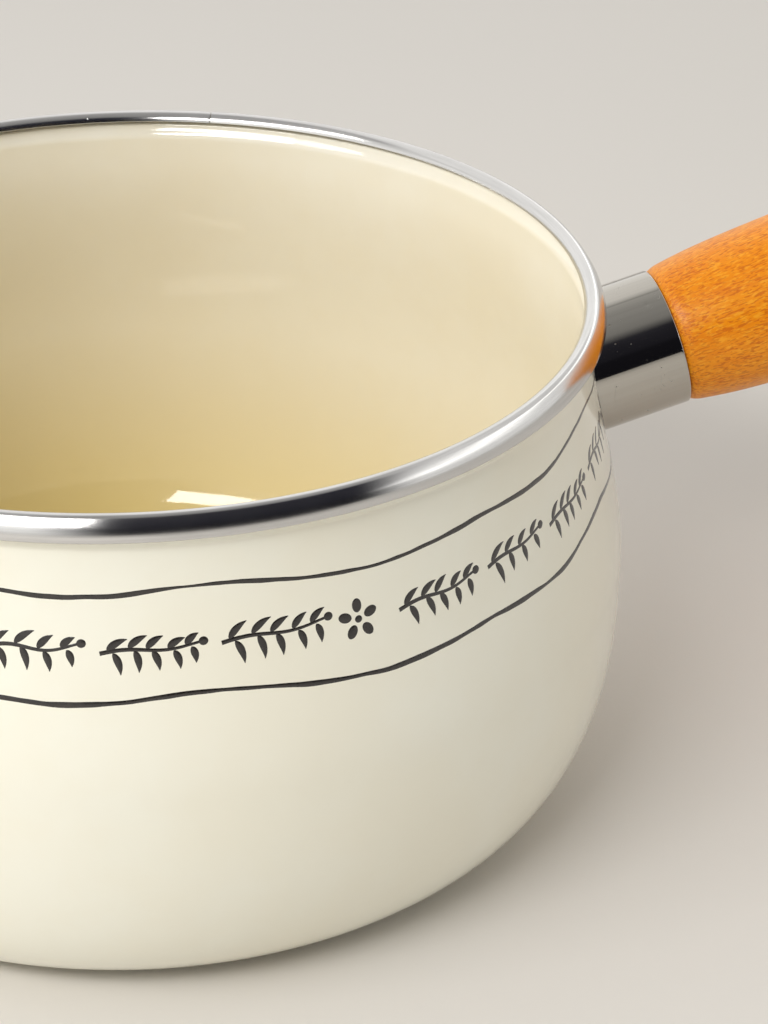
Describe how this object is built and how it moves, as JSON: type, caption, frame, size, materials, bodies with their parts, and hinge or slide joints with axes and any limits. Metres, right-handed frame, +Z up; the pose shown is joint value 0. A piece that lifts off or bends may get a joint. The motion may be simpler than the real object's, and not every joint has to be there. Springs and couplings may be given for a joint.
{
  "type": "enamel milk pan",
  "caption": "Round enamelled steel melting pan with a stainless rim band, a turned wooden handle in a steel ferrule, and a hanging ring.",
  "frame": {"origin": "centre of the flat base, on the surface that the pan stands on", "axes": "+Z up along the pan's axis, +X from the pan's axis towards the handle's tail, +Y completes the right-handed frame"},
  "size_m": [0.3169, 0.172, 0.1121],
  "materials": {
    "cream_enamel": "glossy vitreous enamel",
    "stainless_steel": "polished, fine scratches",
    "plated_steel": "zinc plated, satin",
    "varnished_beech": "turned beech, orange clear varnish, satin gloss"
  },
  "bodies": {
    "pan": {"pot_shell": "cream_enamel", "rim_band": "stainless_steel", "handle_bracket": "cream_enamel", "weld_nut": "plated_steel", "ferrule": "stainless_steel", "handle_grip": "varnished_beech", "tie_rod": "plated_steel", "tail_washer": "stainless_steel", "spring_washer": "plated_steel", "eye_nut": "stainless_steel"},
    "ring": {"hanging_ring": "stainless_steel"}
  },
  "joints": [
    {"name": "ring_swing", "type": "hinge", "parent": "pan", "child": "ring", "pos_m": [0.22249, 0, 0.10084], "axis": [0, -1, 0], "range_deg": [-47, 241]}
  ]
}
